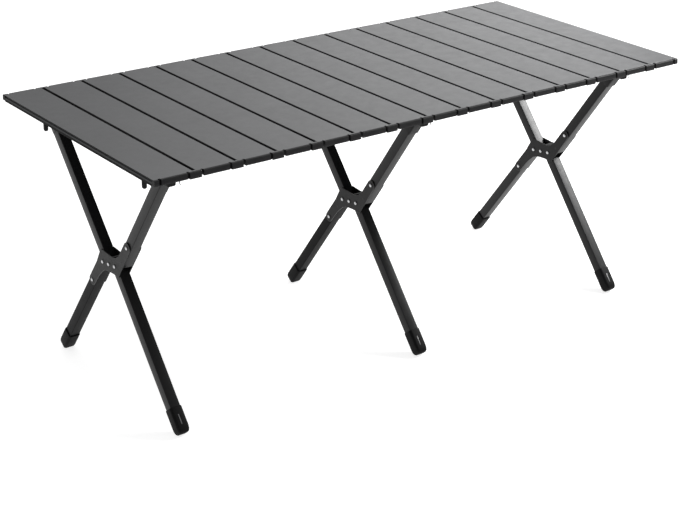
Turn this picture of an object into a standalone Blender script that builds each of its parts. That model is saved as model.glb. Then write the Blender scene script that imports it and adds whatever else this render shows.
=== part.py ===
# Folding camp table: a roll-up top of fifteen aluminium slats on three folding
# cross-leg frames, with two tubular rails under the top.
# Metres, +Z up, +X along the long side, +Y to the back.
# Origin on the floor under the middle of the top.
import math

import bmesh
import bpy
from mathutils import Matrix, Vector

# ---------------------------------------------------------------- dimensions
TOP_LENGTH = 1.200          # along X
TOP_WIDTH = 0.5416          # along Y
TOP_HEIGHT = 0.510          # upper face of the slats
SLAT_THICK = 0.010
SLAT_COUNT = 15
SLAT_PITCH = 0.0804         # from one gap to the next
SLAT_GAP = 0.0048
MIDDLE_SLAT = 8             # lies on the middle frame; the others hinge up from it on both sides
SKIN = 0.0016               # wall of the extruded slat
LIP = 0.009                 # inward lips along the slat's underside
EDGE_CHAMFER = 0.0006
CAP_DEPTH = 0.0083          # end strip of caps and links, along Y
LINK_HALF = 0.0133          # half the width of a hinge link
LINK_DROP = 0.0013          # how far a link hangs below the slats
LINK_GROOVE = 0.0014        # groove between a cap and its link
JOINT_CLEAR = 0.0007        # between a link and the next slat's cap

FRAME_X = (-0.5276, 0.0095, 0.5226)     # planes of the three leg frames
FRAME_TAG = ("left", "mid", "right")

TUBE = 0.0200               # square leg tube
TUBE_WALL = 0.0013
TUBE_CORNER = 0.0022

# hub, as (y, z)
HUB_MID = (0.0080, 0.2509)
BACK_PIVOT = (0.0298, 0.2480)
FRONT_PIVOT = (-0.0138, 0.2538)
UPPER_RIVET = (-0.0603, 0.3057)
LOWER_RIVET = (0.0736, 0.1964)

# leg tube centre lines: angle above the horizontal, and (y, z) of one point
BACK_ARM_ANGLE = 49.2       # upper arm to the back
FRONT_ARM_ANGLE = 54.8      # upper arm to the front
BACK_LEG_ANGLE = 53.3       # lower leg to the back
FRONT_LEG_ANGLE = 50.3      # lower leg to the front
BACK_ARM_SHIFT = 0.0078     # centre line above the back pivot
FRONT_LEG_SHIFT = 0.0058    # centre line below the front pivot

PLATE = 0.0020              # hub plate
CLEAR = 0.0003              # gap between touching pieces
EAR_END = 0.0005            # centre of an ear's round end, past its rivet
SHANK = 0.0023
HOLE = 0.0026
HEAD = 0.0042
HEAD_HEIGHT = 0.0016

RAIL = 0.0160               # square rail under the top
RAIL_WALL = 0.0012
RAIL_TOP = TOP_HEIGHT - SLAT_THICK - 0.0005
RAIL_DROP = 0.0020          # rail's top below the socket's top
BACK_RAIL_Y = 0.2280
FRONT_RAIL_Y = -0.1910
ARM_TOP_Z = 0.4710          # where the upper arms' centre lines end
END_PLUG = 0.0210           # depth of a rail end in an end socket
MID_PLUG = 0.0112           # depth of a rail end in the middle socket
SOCKET_HALF_X = 0.0132
SOCKET_HALF_Y = 0.0160
SOCKET_BOTTOM = 0.4735
SLEEVE_HALF = 0.0124
SLEEVE_LENGTH = 0.0300

FOOT_HALF = 0.0122
FOOT_LENGTH = 0.0480
FOOT_SOCKET = 0.0360

CLIP_X = 0.5880
CLIP_BACK_Y = 0.1260
CLIP_FRONT_Y = -0.2170
CLIP_BOTTOM = 0.4780
CLIP_HALF = 0.0037

# ---------------------------------------------------------------- start clean
for old in list(bpy.data.objects):
    bpy.data.objects.remove(old, do_unlink=True)

scene_collection = bpy.context.scene.collection


# ---------------------------------------------------------------- helpers
def material(name, colour, roughness, metallic):
    mat = bpy.data.materials.new(name)
    mat.use_nodes = True
    shader = mat.node_tree.nodes["Principled BSDF"]
    shader.inputs["Base Color"].default_value = (*colour, 1.0)
    shader.inputs["Roughness"].default_value = roughness
    shader.inputs["Metallic"].default_value = metallic
    return mat


def own_material(obj, base, roughness, metallic):
    """Every object gets a material of its own in the given finish."""
    obj.data.materials.clear()
    obj.data.materials.append(material(obj.name + "_finish", base, roughness, metallic))


SLAT_FINISH = ((0.115, 0.117, 0.120), 0.38, 0.85)
TUBE_FINISH = ((0.050, 0.050, 0.052), 0.42, 0.70)
PLATE_FINISH = ((0.040, 0.040, 0.042), 0.50, 0.60)
PLASTIC_FINISH = ((0.022, 0.022, 0.023), 0.50, 0.0)
STEEL_FINISH = ((0.62, 0.62, 0.63), 0.28, 1.0)


def link_object(obj, parent=None):
    scene_collection.objects.link(obj)
    if parent is not None:
        obj.parent = parent
        obj.location = obj.location - parent.location
    return obj


def pivot(name, x, y, z):
    """An empty on a joint's axis, that the moving pieces hang on."""
    e = bpy.data.objects.new(name, None)
    e.empty_display_size = 0.03
    e.location = (x, y, z)
    scene_collection.objects.link(e)
    return e


def mesh_object(name, bm, location=(0, 0, 0), angle=0.0, parent=None, smooth=False):
    bmesh.ops.recalc_face_normals(bm, faces=bm.faces)
    me = bpy.data.meshes.new(name)
    bm.to_mesh(me)
    bm.free()
    obj = bpy.data.objects.new(name, me)
    obj.location = location
    obj.rotation_euler = (angle, 0.0, 0.0)
    link_object(obj, parent)
    if smooth:
        me.shade_smooth()
        me.set_sharp_from_angle(angle=math.radians(35))
    return obj


def as_tool(obj):
    obj.hide_render = True
    obj.display_type = 'WIRE'
    return obj


def boolean(obj, tool, operation):
    mod = obj.modifiers.new(operation.lower() + "_" + tool.name[:20], 'BOOLEAN')
    mod.operation = operation
    mod.object = tool
    mod.solver = 'EXACT'
    return mod


def add_box(bm, lo, hi):
    verts = [bm.verts.new((x, y, z)) for x in (lo[0], hi[0]) for y in (lo[1], hi[1]) for z in (lo[2], hi[2])]
    for a, b, c, d in ((0, 1, 3, 2), (4, 6, 7, 5), (0, 4, 5, 1), (2, 3, 7, 6), (0, 2, 6, 4), (1, 5, 7, 3)):
        bm.faces.new((verts[a], verts[b], verts[c], verts[d]))


def extrude_outline(bm, outline, to_point, depth_vector):
    """A closed prism over a 2-D outline."""
    face = bm.faces.new([bm.verts.new(to_point(a, b)) for a, b in outline])
    out = bmesh.ops.extrude_face_region(bm, geom=[face])
    moved = [g for g in out["geom"] if isinstance(g, bmesh.types.BMVert)]
    bmesh.ops.translate(bm, verts=moved, vec=depth_vector)


def rounded_square(half_x, half_y, radius, steps):
    """Outline of a rectangle with rounded corners, anticlockwise."""
    pts = []
    for cx, cy, start in ((1, 1, 0.0), (-1, 1, 90.0), (-1, -1, 180.0), (1, -1, 270.0)):
        for k in range(steps + 1):
            a = math.radians(start + 90.0 * k / steps)
            pts.append((cx * (half_x - radius) + radius * math.cos(a),
                        cy * (half_y - radius) + radius * math.sin(a)))
    return pts


def lathe_x(bm, profile, centre_y, centre_z, segments=16):
    """A closed turned body about a line along X; profile is (x, radius), radius 0 at both ends."""
    rings = []
    for x, r in profile:
        if r < 1e-7:
            rings.append([bm.verts.new((x, centre_y, centre_z))])
        else:
            rings.append([bm.verts.new((x, centre_y + r * math.cos(2 * math.pi * k / segments),
                                        centre_z + r * math.sin(2 * math.pi * k / segments)))
                          for k in range(segments)])
    for a, b in zip(rings, rings[1:]):
        for k in range(segments):
            n = (k + 1) % segments
            if len(a) == 1:
                bm.faces.new((a[0], b[n], b[k]))
            elif len(b) == 1:
                bm.faces.new((a[k], a[n], b[0]))
            else:
                bm.faces.new((a[k], a[n], b[n], b[k]))


def tube_angle(dy, dz):
    """Turn about X that points local +Z along (dy, dz)."""
    return math.atan2(-dy, dz)


def square_tube(name, x, start, end, side, wall, corner, parent):
    """An open square tube from start to end, both (y, z), in the plane of a leg frame."""
    dy, dz = end[0] - start[0], end[1] - start[1]
    length = math.hypot(dy, dz)
    bm = bmesh.new()
    outer = rounded_square(side / 2, side / 2, corner, 2)
    inner = rounded_square(side / 2 - wall, side / 2 - wall, corner - wall, 2)
    n = len(outer)
    loops = [[bm.verts.new((a, b, z)) for a, b in loop] for z in (0.0, length) for loop in (outer, inner)]
    for k in range(n):
        m = (k + 1) % n
        o0, i0, o1, i1 = loops
        bm.faces.new((o0[k], o0[m], o1[m], o1[k]))
        bm.faces.new((i0[m], i0[k], i1[k], i1[m]))
        bm.faces.new((o0[m], o0[k], i0[k], i0[m]))
        bm.faces.new((o1[k], o1[m], i1[m], i1[k]))
    obj = mesh_object(name, bm, (x, start[0], start[1]), tube_angle(dy, dz), parent, smooth=True)
    return obj


def along(point, angle_deg, forward, distance, up=True):
    """A point along a leg line; forward +1 runs to the back, -1 to the front."""
    a = math.radians(angle_deg)
    s = 1.0 if up else -1.0
    return (point[0] + forward * math.cos(a) * distance, point[1] + s * math.sin(a) * distance)


# ---------------------------------------------------------------- leg lines
def offset_point(point, angle_deg, forward, up, shift):
    """Shift a point at right angles to a leg, towards the upper side for a positive shift."""
    a = math.radians(angle_deg)
    dy, dz = forward * math.cos(a), (1.0 if up else -1.0) * math.sin(a)
    ny, nz = -dz, dy
    if nz < 0:
        ny, nz = -ny, -nz
    return (point[0] + ny * shift, point[1] + nz * shift)


BACK_ARM_ROOT = offset_point(BACK_PIVOT, BACK_ARM_ANGLE, 1, True, BACK_ARM_SHIFT)
FRONT_LEG_ROOT = offset_point(FRONT_PIVOT, FRONT_LEG_ANGLE, -1, False, -FRONT_LEG_SHIFT)

INNER_REACH = 0.0050        # how far a swinging tube reaches past its pivot


def point_at_height(point, angle_deg, forward, z):
    a = math.radians(angle_deg)
    return (point[0] + forward * (abs(z - point[1])) / math.tan(a), z)


# upper arm, back (swings on the back pivot)
back_arm_start = along(BACK_ARM_ROOT, BACK_ARM_ANGLE, 1, -INNER_REACH)
back_arm_end = point_at_height(BACK_ARM_ROOT, BACK_ARM_ANGLE, 1, ARM_TOP_Z)
# upper arm, front (riveted between the hub plates)
front_arm_start = along(UPPER_RIVET, FRONT_ARM_ANGLE, -1, -0.0500)
front_arm_end = point_at_height(UPPER_RIVET, FRONT_ARM_ANGLE, -1, ARM_TOP_Z)
# lower leg, back (riveted between the hub plates)
back_leg_start = along(LOWER_RIVET, BACK_LEG_ANGLE, 1, -0.0485, up=False)
back_leg_end = point_at_height(LOWER_RIVET, BACK_LEG_ANGLE, 1, 0.0130)
# lower leg, front (swings on the front pivot)
front_leg_start = along(FRONT_LEG_ROOT, FRONT_LEG_ANGLE, -1, -INNER_REACH, up=False)
front_leg_end = point_at_height(FRONT_LEG_ROOT, FRONT_LEG_ANGLE, -1, 0.0130)


# ---------------------------------------------------------------- hub plate
def hub_outline(lap, fillet):
    """Butterfly outline: two long ears with round ends that follow the tubes, a hollow top and bottom edge.
    lap is how far the plate reaches past the front upper arm's lower side."""
    half = TUBE / 2
    u = math.radians(FRONT_ARM_ANGLE)
    up_dir = Vector((-math.cos(u), math.sin(u)))
    up_nrm = Vector((math.sin(u), math.cos(u)))
    l = math.radians(BACK_LEG_ANGLE)
    low_dir = Vector((math.cos(l), -math.sin(l)))
    low_nrm = Vector((-math.sin(l), -math.cos(l)))
    rivet_u, rivet_l, mid = Vector(UPPER_RIVET), Vector(LOWER_RIVET), Vector(HUB_MID)
    pts = []
    # ear on the front upper arm, from its upper side round the end to its lower side
    for k in range(9):
        a = math.pi * k / 8
        pts.append(rivet_u + up_dir * (EAR_END + half * math.sin(a)) + up_nrm * (half * math.cos(a)))
    # straight down the arm's lower side to the front corner
    pts.append(rivet_u - up_nrm * (half + lap) - up_dir * 0.0760)
    # hollow lower edge, with a wide fillet into the lower ear
    for y, z in ((-0.0240, -0.0134), (-0.0100, -0.0136), (0.0020, -0.0144), (0.0120, -0.0164), (0.0200, -0.0196)):
        pts.append(mid + Vector((y, z)))
    if fillet:
        pts.append(mid + Vector((0.0270, -0.0252)))
        pts.append(rivet_l + low_nrm * (half + 0.0006) - low_dir * 0.0300)
    else:
        pts.append(rivet_l + low_nrm * half - low_dir * 0.0480)
    # ear on the back lower leg
    for k in range(9):
        a = math.pi * k / 8
        pts.append(rivet_l + low_dir * (EAR_END + half * math.sin(a)) + low_nrm * (half * math.cos(a)))
    # up the leg's upper side to the back corner
    pts.append(rivet_l - low_nrm * half - low_dir * 0.0480)
    pts.append(mid + Vector((0.0300, 0.0165)))
    pts.append(mid + Vector((0.0270, 0.0202)))
    # hollow upper edge
    for y, z in ((0.0180, 0.0206), (0.0060, 0.0196), (-0.0060, 0.0186), (-0.0180, 0.0188), (-0.0270, 0.0208)):
        pts.append(mid + Vector((y, z)))
    pts.append(rivet_u + up_nrm * half - up_dir * 0.0400)
    return [(p.x, p.y) for p in pts]


def hub_plates(x, tag, parent):
    inner_face = TUBE / 2 + CLEAR
    my, mz = HUB_MID

    def plate(name, x0, outline):
        bm = bmesh.new()
        extrude_outline(bm, outline, lambda a, b: (x0, a - my, b - mz), (PLATE, 0, 0))
        return mesh_object(name, bm, (x, my, mz), 0.0, parent)

    outer = plate(tag + "_hub_plate_outer", -inner_face - PLATE, hub_outline(0.0020, True))
    inner = plate(tag + "_hub_plate_inner", inner_face, hub_outline(-0.0005, False))

    # the two fixed rivets, upset on the outer plate, and the middle rivet, a short one in each plate,
    # so that the folded tubes pass between the plates
    bm = bmesh.new()
    face = -inner_face - PLATE
    over = 0.0004
    reach = inner_face - CLEAR
    lathe_x(bm, [(face - HEAD_HEIGHT, 0.0), (face - HEAD_HEIGHT, HEAD * 0.55), (face - HEAD_HEIGHT * 0.45, HEAD * 0.92),
                 (face, HEAD), (face + over, HEAD), (face + over, 0.0)], 0.0, 0.0)
    for y, z in (UPPER_RIVET, LOWER_RIVET):
        lathe_x(bm, [(face - HEAD_HEIGHT, 0.0), (face - HEAD_HEIGHT, HEAD * 0.55), (face - HEAD_HEIGHT * 0.45, HEAD * 0.92),
                     (face, HEAD), (face + over, HEAD), (face + over, SHANK), (reach, SHANK), (reach, 0.0)],
                y - my, z - mz)
    pins = as_tool(mesh_object(tag + "_hub_pins_tool", bm, (x, my, mz), 0.0, parent))
    boolean(outer, pins, 'UNION')

    # closing heads on the inner plate
    bm = bmesh.new()
    face = inner_face + PLATE
    for y, z in (HUB_MID, UPPER_RIVET, LOWER_RIVET):
        lathe_x(bm, [(face - over, 0.0), (face - over, HEAD), (face, HEAD), (face + HEAD_HEIGHT * 0.45, HEAD * 0.92),
                     (face + HEAD_HEIGHT, HEAD * 0.55), (face + HEAD_HEIGHT, 0.0)], y - my, z - mz)
    heads = as_tool(mesh_object(tag + "_hub_heads_tool", bm, (x, my, mz), 0.0, parent))
    boolean(inner, heads, 'UNION')
    return outer, inner


def hole_cutter(name, x, y, z, parent):
    bm = bmesh.new()
    lathe_x(bm, [(-0.02, 0.0), (-0.02, HOLE), (0.02, HOLE), (0.02, 0.0)], 0.0, 0.0, 16)
    return as_tool(mesh_object(name, bm, (x, y, z), 0.0, parent))


def pivot_rivet(name, x, y, z, parent):
    face = TUBE / 2 + CLEAR + PLATE + CLEAR
    bm = bmesh.new()
    lathe_x(bm, [(-face - HEAD_HEIGHT, 0.0), (-face - HEAD_HEIGHT, HEAD * 0.55), (-face - HEAD_HEIGHT * 0.45, HEAD * 0.92),
                 (-face, HEAD), (-face, SHANK), (face, SHANK), (face, HEAD),
                 (face + HEAD_HEIGHT * 0.45, HEAD * 0.92), (face + HEAD_HEIGHT, HEAD * 0.55), (face + HEAD_HEIGHT, 0.0)],
            0.0, 0.0)
    return mesh_object(name, bm, (x, y, z), 0.0, parent, smooth=True)


# ---------------------------------------------------------------- feet
def foot_cap(name, x, start, end, parent):
    """A moulded cap over the lower end of a leg, its base cut flat on the floor."""
    dy, dz = end[0] - start[0], end[1] - start[1]
    length = math.hypot(dy, dz)
    uy, uz = dy / length, dz / length
    # the cap's local +Z runs down the leg; z = 0 is its rim
    base = (end[0] - uy * FOOT_SOCKET, end[1] - uz * FOOT_SOCKET)
    angle = tube_angle(uy, uz)
    h = FOOT_HALF
    bm = bmesh.new()
    rings = []
    for z, s in ((0.0, 0.985), (0.0015, 1.0), (0.0400, 1.0), (0.0450, 0.90), (FOOT_LENGTH, 0.66)):
        rings.append([bm.verts.new((a * s, b * s, z)) for a, b in rounded_square(h, h, 0.0040, 3)])
    cavity = TUBE / 2 + CLEAR
    inner = [[bm.verts.new((a, b, z)) for a, b in rounded_square(cavity, cavity, TUBE_CORNER + 0.0002, 3)]
             for z in (0.0, FOOT_SOCKET + CLEAR)]
    n = len(rings[0])
    for a, b in zip(rings, rings[1:]):
        for k in range(n):
            m = (k + 1) % n
            bm.faces.new((a[k], a[m], b[m], b[k]))
    for k in range(n):
        m = (k + 1) % n
        bm.faces.new((inner[0][m], inner[0][k], inner[1][k], inner[1][m]))
        bm.faces.new((rings[0][m], rings[0][k], inner[0][k], inner[0][m]))
    bm.faces.new(rings[-1])
    bm.faces.new(list(reversed(inner[1])))
    # flat base on the floor, found in the cap's own frame
    to_local = Matrix.Rotation(-angle, 3, 'X')
    plane_n = to_local @ Vector((0.0, 0.0, 1.0))
    plane_p = to_local @ (Vector((0.0, 0.0, 0.0)) - Vector((0.0, base[0], base[1])))
    cut = bmesh.ops.bisect_plane(bm, geom=list(bm.verts) + list(bm.edges) + list(bm.faces),
                                 plane_co=plane_p, plane_no=plane_n, clear_inner=True, dist=1e-6)
    edges = [g for g in cut["geom_cut"] if isinstance(g, bmesh.types.BMEdge)]
    if edges:
        bmesh.ops.contextual_create(bm, geom=edges)
    return mesh_object(name, bm, (x, base[0], base[1]), angle, parent, smooth=True)


# ---------------------------------------------------------------- rail sockets
def rail_socket(name, x, start, end, rail_y, plug, open_left, open_right, parent):
    """A moulded connector: a sleeve over the arm's end and a block that takes the rail ends."""
    dy, dz = end[0] - start[0], end[1] - start[1]
    length = math.hypot(dy, dz)
    uy, uz = dy / length, dz / length
    angle = tube_angle(uy, uz)
    half_x = SOCKET_HALF_X
    bm = bmesh.new()
    add_box(bm, (-half_x, rail_y - SOCKET_HALF_Y - end[0], SOCKET_BOTTOM - end[1]),
            (half_x, rail_y + SOCKET_HALF_Y - end[0], RAIL_TOP - end[1]))
    vertical = [e for e in bm.edges if abs((e.verts[0].co - e.verts[1].co).z) > 0.01]
    bmesh.ops.bevel(bm, geom=vertical, offset=0.0030, segments=2, affect='EDGES', profile=0.5)
    obj = mesh_object(name, bm, (x, end[0], end[1]), 0.0, parent, smooth=True)

    # sleeve round the end of the arm
    bm = bmesh.new()
    outline = rounded_square(SLEEVE_HALF, SLEEVE_HALF, 0.0030, 2)
    extrude_outline(bm, outline, lambda a, b: (a, b, -SLEEVE_LENGTH), (0, 0, SLEEVE_LENGTH + 0.0030))
    sleeve = as_tool(mesh_object(name + "_sleeve_tool", bm, (x, end[0], end[1]), angle, parent))
    boolean(obj, sleeve, 'UNION')

    # hollow for the arm
    bm = bmesh.new()
    c = TUBE / 2 + CLEAR
    extrude_outline(bm, rounded_square(c, c, TUBE_CORNER + 0.0002, 2), lambda a, b: (a, b, -SLEEVE_LENGTH - 0.02),
                    (0, 0, SLEEVE_LENGTH + 0.02 + CLEAR))
    hollow = as_tool(mesh_object(name + "_arm_tool", bm, (x, end[0], end[1]), angle, parent))
    boolean(obj, hollow, 'DIFFERENCE')

    # sockets for the rail ends
    c = RAIL / 2 + CLEAR
    bm = bmesh.new()
    zc = RAIL_TOP - RAIL / 2 - RAIL_DROP
    if open_left:
        add_box(bm, (-half_x - 0.01, rail_y - c, zc - c), (-half_x + plug + CLEAR, rail_y + c, zc + c))
    if open_right:
        add_box(bm, (half_x - plug - CLEAR, rail_y - c, zc - c), (half_x + 0.01, rail_y + c, zc + c))
    sockets = as_tool(mesh_object(name + "_rail_tool", bm, (x, 0.0, 0.0), 0.0, parent))
    boolean(obj, sockets, 'DIFFERENCE')
    return obj


def rail(name, x0, x1, y, parent):
    """A square rail tube along X, both ends open."""
    bm = bmesh.new()
    outer = rounded_square(RAIL / 2, RAIL / 2, 0.0018, 2)
    inner = rounded_square(RAIL / 2 - RAIL_WALL, RAIL / 2 - RAIL_WALL, 0.0006, 2)
    n = len(outer)
    length = x1 - x0
    o0, i0, o1, i1 = [[bm.verts.new((xx, a, b)) for a, b in loop] for xx in (0.0, length) for loop in (outer, inner)]
    for k in range(n):
        m = (k + 1) % n
        bm.faces.new((o0[k], o0[m], o1[m], o1[k]))
        bm.faces.new((i0[m], i0[k], i1[k], i1[m]))
        bm.faces.new((o0[m], o0[k], i0[k], i0[m]))
        bm.faces.new((o1[k], o1[m], i1[m], i1[k]))
    return mesh_object(name, bm, (x0, y, RAIL_TOP - RAIL / 2 - RAIL_DROP), 0.0, parent, smooth=True)


# ---------------------------------------------------------------- slats
def gap_x(k):
    """X of the gap between slat k and slat k + 1."""
    return (k - SLAT_COUNT / 2) * SLAT_PITCH


def hinge_x(k):
    """X of the hinge line that slat k swings on."""
    if k == MIDDLE_SLAT:
        return gap_x(k) - SLAT_PITCH / 2
    return gap_x(k) if k < MIDDLE_SLAT else gap_x(k - 1)


def slat_span(k):
    left = -TOP_LENGTH / 2 if k == 1 else gap_x(k - 1) + SLAT_GAP / 2
    right = TOP_LENGTH / 2 if k == SLAT_COUNT else gap_x(k) - SLAT_GAP / 2
    return left, right


def slat_section(left, right):
    """Extruded channel: top skin, two flanges with inward lips, two stiffening ribs."""
    t, c, h = SKIN, EDGE_CHAMFER, SLAT_THICK
    w = right - left
    r1, r2 = w / 3, 2 * w / 3
    rib = 0.0012
    return [(c, 0.0), (w - c, 0.0), (w, -c), (w, -h), (w - LIP, -h), (w - LIP, -h + t), (w - t, -h + t), (w - t, -t),
            (r2 + rib / 2, -t), (r2 + rib / 2, -h + t), (r2 + 0.004, -h + t), (r2 + 0.004, -h), (r2 - 0.004, -h),
            (r2 - 0.004, -h + t), (r2 - rib / 2, -h + t), (r2 - rib / 2, -t),
            (r1 + rib / 2, -t), (r1 + rib / 2, -h + t), (r1 + 0.004, -h + t), (r1 + 0.004, -h), (r1 - 0.004, -h),
            (r1 - 0.004, -h + t), (r1 - rib / 2, -h + t), (r1 - rib / 2, -t),
            (t, -t), (t, -h + t), (LIP, -h + t), (LIP, -h), (0.0, -h), (0.0, -c)]


def slat(k, parent):
    left, right = slat_span(k)
    # origin on the hinge line towards the middle slat, at the top face
    ox = hinge_x(k)
    body_half = TOP_WIDTH / 2 - CAP_DEPTH - 0.0005
    bm = bmesh.new()
    extrude_outline(bm, slat_section(left, right), lambda a, b: (left + a - ox, -body_half, b), (0, 2 * body_half, 0))
    name = "slat_%02d" % k
    obj = mesh_object(name, bm, (ox, 0.0, TOP_HEIGHT), 0.0, parent)

    # end strips: a cap over the slat's end, and the hinge link that bridges to the next slat
    cap_left = left if k == 1 else gap_x(k - 1) + LINK_HALF + JOINT_CLEAR
    cap_right = right if k == SLAT_COUNT else gap_x(k) - LINK_HALF
    inner = body_half - 0.0004
    outer = TOP_WIDTH / 2
    bm = bmesh.new()
    for side in (-1, 1):
        lo_y, hi_y = sorted((side * inner, side * outer))
        if k == SLAT_COUNT:
            add_box(bm, (cap_left - ox, lo_y, -SLAT_THICK), (cap_right - ox, hi_y, 0.0))
        else:
            # one outline in X and Z: the cap, a groove, and the deeper link
            x0, x1, x2 = cap_left - ox, cap_right - ox, gap_x(k) + LINK_HALF - ox
            g = LINK_GROOVE / 2
            profile = [(x0, 0.0), (x1 - g, 0.0), (x1 - g, -0.0012), (x1 + g, -0.0012), (x1 + g, 0.0), (x2, 0.0),
                       (x2, -SLAT_THICK - LINK_DROP), (x1 + g, -SLAT_THICK - LINK_DROP), (x1 + g, -SLAT_THICK),
                       (x0, -SLAT_THICK)]
            # the link stands clear of the next slat's end
            extrude_outline(bm, profile, lambda a, b, y0=lo_y: (a, y0, b), (0, hi_y - lo_y, 0))
    strips = as_tool(mesh_object(name + "_strips_tool", bm, (ox, 0.0, TOP_HEIGHT), 0.0, parent))
    boolean(obj, strips, 'UNION')
    if k < SLAT_COUNT:
        # trim the link's inner side where it overhangs the gap, so that it clears the next slat
        bm = bmesh.new()
        for side in (-1, 1):
            lo_y, hi_y = sorted((side * (outer - CAP_DEPTH), side * (body_half - 0.01)))
            add_box(bm, (right - ox + 0.0002, lo_y, -0.02), (gap_x(k) + LINK_HALF - ox + 0.001, hi_y, 0.01))
        trim = as_tool(mesh_object(name + "_trim_tool", bm, (ox, 0.0, TOP_HEIGHT), 0.0, parent))
        boolean(obj, trim, 'DIFFERENCE')
    return obj


def clip_peg(name, x, y, parent):
    """A moulded locating peg under an end slat."""
    top = TOP_HEIGHT - SLAT_THICK - CLEAR
    bm = bmesh.new()
    h = CLIP_HALF
    depth = top - CLIP_BOTTOM
    rings = []
    for z, s in ((-0.0022, 1.0), (-depth + 0.003, 1.0), (-depth + 0.001, 0.82), (-depth, 0.50)):
        rings.append([bm.verts.new((a * s, b * s, z)) for a, b in rounded_square(h, h, 0.0018, 2)])
    flange = [[bm.verts.new((a, b, z)) for a, b in rounded_square(0.0105, 0.0085, 0.0018, 2)] for z in (0.0, -0.0022)]
    n = len(rings[0])
    for a, b in zip(rings, rings[1:]):
        for k in range(n):
            m = (k + 1) % n
            bm.faces.new((a[m], a[k], b[k], b[m]))
    for k in range(n):
        m = (k + 1) % n
        bm.faces.new((flange[0][m], flange[0][k], flange[1][k], flange[1][m]))
        bm.faces.new((flange[1][m], flange[1][k], rings[0][k], rings[0][m]))
    bm.faces.new(flange[0])
    bm.faces.new(list(reversed(rings[-1])))
    return mesh_object(name, bm, (x, y, top), 0.0, parent, smooth=True)


# ---------------------------------------------------------------- assemble
for i, (x, tag) in enumerate(zip(FRAME_X, FRAME_TAG)):
    frame_at = pivot(tag + "_frame_at", x, HUB_MID[0], HUB_MID[1])
    back_at = pivot(tag + "_back_pivot_at", x, *BACK_PIVOT)
    front_at = pivot(tag + "_front_pivot_at", x, *FRONT_PIVOT)

    back_arm = square_tube(tag + "_back_upper_arm", x, back_arm_start, back_arm_end, TUBE, TUBE_WALL, TUBE_CORNER, back_at)
    front_arm = square_tube(tag + "_front_upper_arm", x, front_arm_start, front_arm_end, TUBE, TUBE_WALL, TUBE_CORNER, frame_at)
    back_leg = square_tube(tag + "_back_lower_leg", x, back_leg_start, back_leg_end, TUBE, TUBE_WALL, TUBE_CORNER, frame_at)
    front_leg = square_tube(tag + "_front_lower_leg", x, front_leg_start, front_leg_end, TUBE, TUBE_WALL, TUBE_CORNER, front_at)
    for t in (back_arm, front_arm, back_leg, front_leg):
        own_material(t, *TUBE_FINISH)

    outer, inner = hub_plates(x, tag, frame_at)
    own_material(outer, *PLATE_FINISH)
    own_material(inner, *PLATE_FINISH)

    cut_back = hole_cutter(tag + "_back_hole_tool", x, *BACK_PIVOT, frame_at)
    cut_front = hole_cutter(tag + "_front_hole_tool", x, *FRONT_PIVOT, frame_at)
    cut_upper = hole_cutter(tag + "_upper_hole_tool", x, *UPPER_RIVET, frame_at)
    cut_lower = hole_cutter(tag + "_lower_hole_tool", x, *LOWER_RIVET, frame_at)
    for p in (outer, inner):
        boolean(p, cut_back, 'DIFFERENCE')
        boolean(p, cut_front, 'DIFFERENCE')
    boolean(back_arm, cut_back, 'DIFFERENCE')
    boolean(front_leg, cut_front, 'DIFFERENCE')
    boolean(front_arm, cut_upper, 'DIFFERENCE')
    boolean(back_leg, cut_lower, 'DIFFERENCE')

    for r in (pivot_rivet(tag + "_back_pivot_rivet", x, *BACK_PIVOT, frame_at),
              pivot_rivet(tag + "_front_pivot_rivet", x, *FRONT_PIVOT, frame_at)):
        own_material(r, *STEEL_FINISH)

    for f in (foot_cap(tag + "_back_foot_cap", x, back_leg_start, back_leg_end, frame_at),
              foot_cap(tag + "_front_foot_cap", x, front_leg_start, front_leg_end, front_at)):
        own_material(f, *PLASTIC_FINISH)

    plug = MID_PLUG if tag == "mid" else END_PLUG
    to_left, to_right = tag != "left", tag != "right"
    for s in (rail_socket(tag + "_back_rail_socket", x, back_arm_start, back_arm_end, BACK_RAIL_Y, plug,
                          to_left, to_right, back_at),
              rail_socket(tag + "_front_rail_socket", x, front_arm_start, front_arm_end, FRONT_RAIL_Y, plug,
                          to_left, to_right, frame_at)):
        own_material(s, *PLASTIC_FINISH)

# rails: one half on each side of the middle frame, carried by the outer frames
for tag, i, sign in (("left", 0, 1), ("right", 2, -1)):
    outer_end = FRAME_X[i] + sign * (SOCKET_HALF_X - END_PLUG)
    inner_end = FRAME_X[1] - sign * (SOCKET_HALF_X - MID_PLUG)
    x0, x1 = sorted((outer_end, inner_end))
    back_at = bpy.data.objects[tag + "_back_pivot_at"]
    frame_at = bpy.data.objects[tag + "_frame_at"]
    own_material(rail(tag + "_back_rail", x0, x1, BACK_RAIL_Y, back_at), *TUBE_FINISH)
    own_material(rail(tag + "_front_rail", x0, x1, FRONT_RAIL_Y, frame_at), *TUBE_FINISH)

# the roll-up top
for k in range(1, SLAT_COUNT + 1):
    own_material(slat(k, None), *SLAT_FINISH)
for tag, sign, k in (("left", -1, 1), ("right", 1, SLAT_COUNT)):
    end_at = pivot(tag + "_end_hinge_at", hinge_x(k), 0.0, TOP_HEIGHT)
    for side, y in (("back", CLIP_BACK_Y), ("front", CLIP_FRONT_Y)):
        own_material(clip_peg("%s_%s_clip" % (tag, side), sign * CLIP_X, y, end_at), *PLASTIC_FINISH)

bpy.context.view_layer.update()
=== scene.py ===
import math

import bmesh
import bpy
from mathutils import Matrix, Vector


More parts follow.
